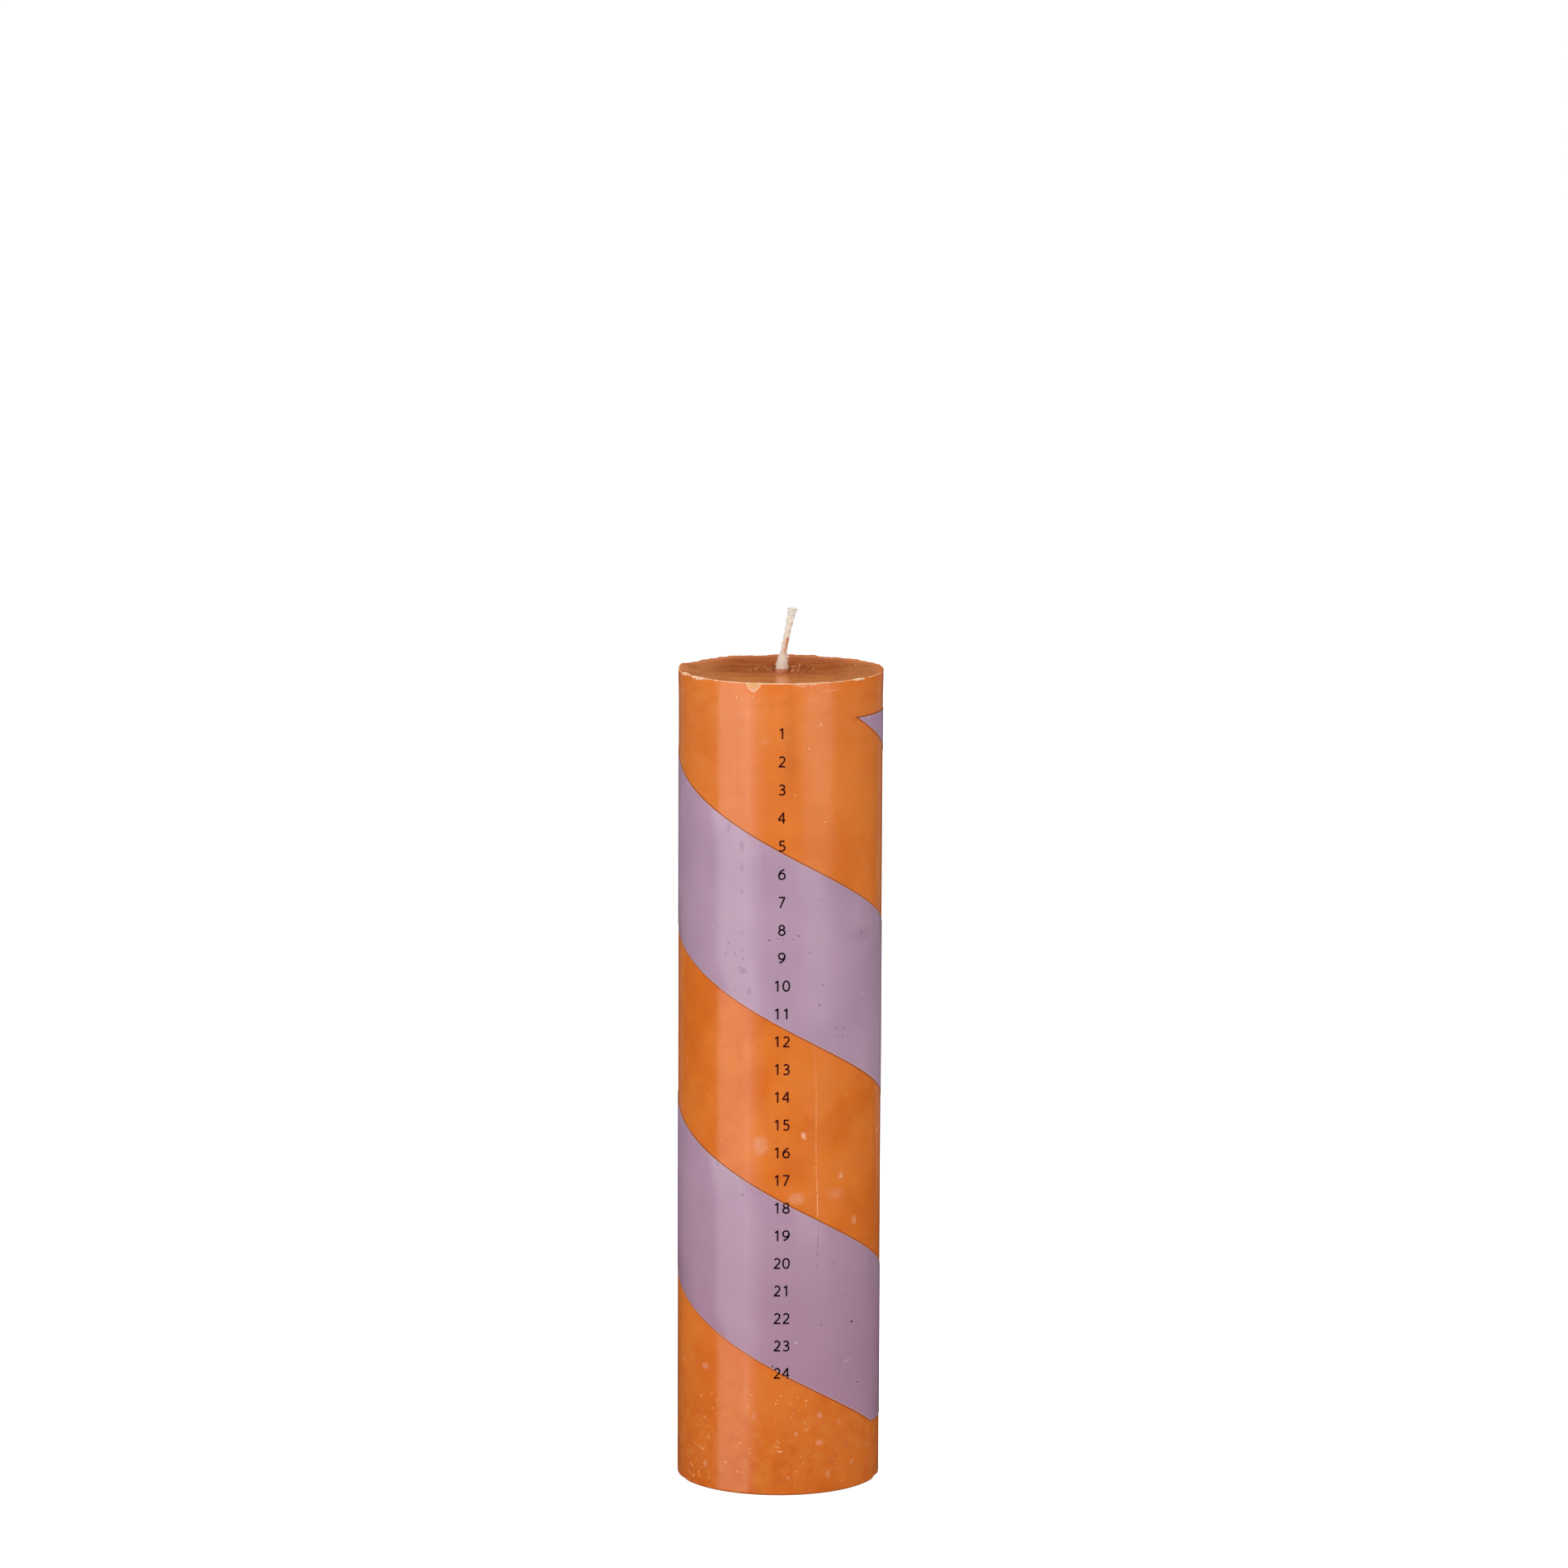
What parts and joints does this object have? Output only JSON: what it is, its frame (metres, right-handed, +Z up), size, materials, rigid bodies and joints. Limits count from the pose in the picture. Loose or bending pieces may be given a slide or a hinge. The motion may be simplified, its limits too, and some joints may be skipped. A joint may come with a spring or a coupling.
{
  "type": "advent candle",
  "caption": "Pillar advent calendar candle with a spiral band laid round it, a flat base to stand on and a primed wick that leans at its free end.",
  "frame": {"origin": "centre of the flat base, on the surface that the candle stands on", "axes": "+Z up along the pillar, towards the wick; -Y is the front, where the column of day numerals is; +X is to the right seen from the front"},
  "size_m": [0.0604, 0.0604, 0.2605],
  "materials": {
    "orange_wax": "satin moulded wax",
    "lilac_band": "satin wax film",
    "cotton_wick": "laid cotton, dry",
    "primer_wax": "white primer wax, ragged",
    "tin_plate": "bright tinned sheet"
  },
  "bodies": {
    "root": {"wax_body": "orange_wax", "spiral_band": "lilac_band", "wick": "cotton_wick", "wick_primer": "primer_wax", "wick_foot": "tin_plate"}
  },
  "joints": []
}
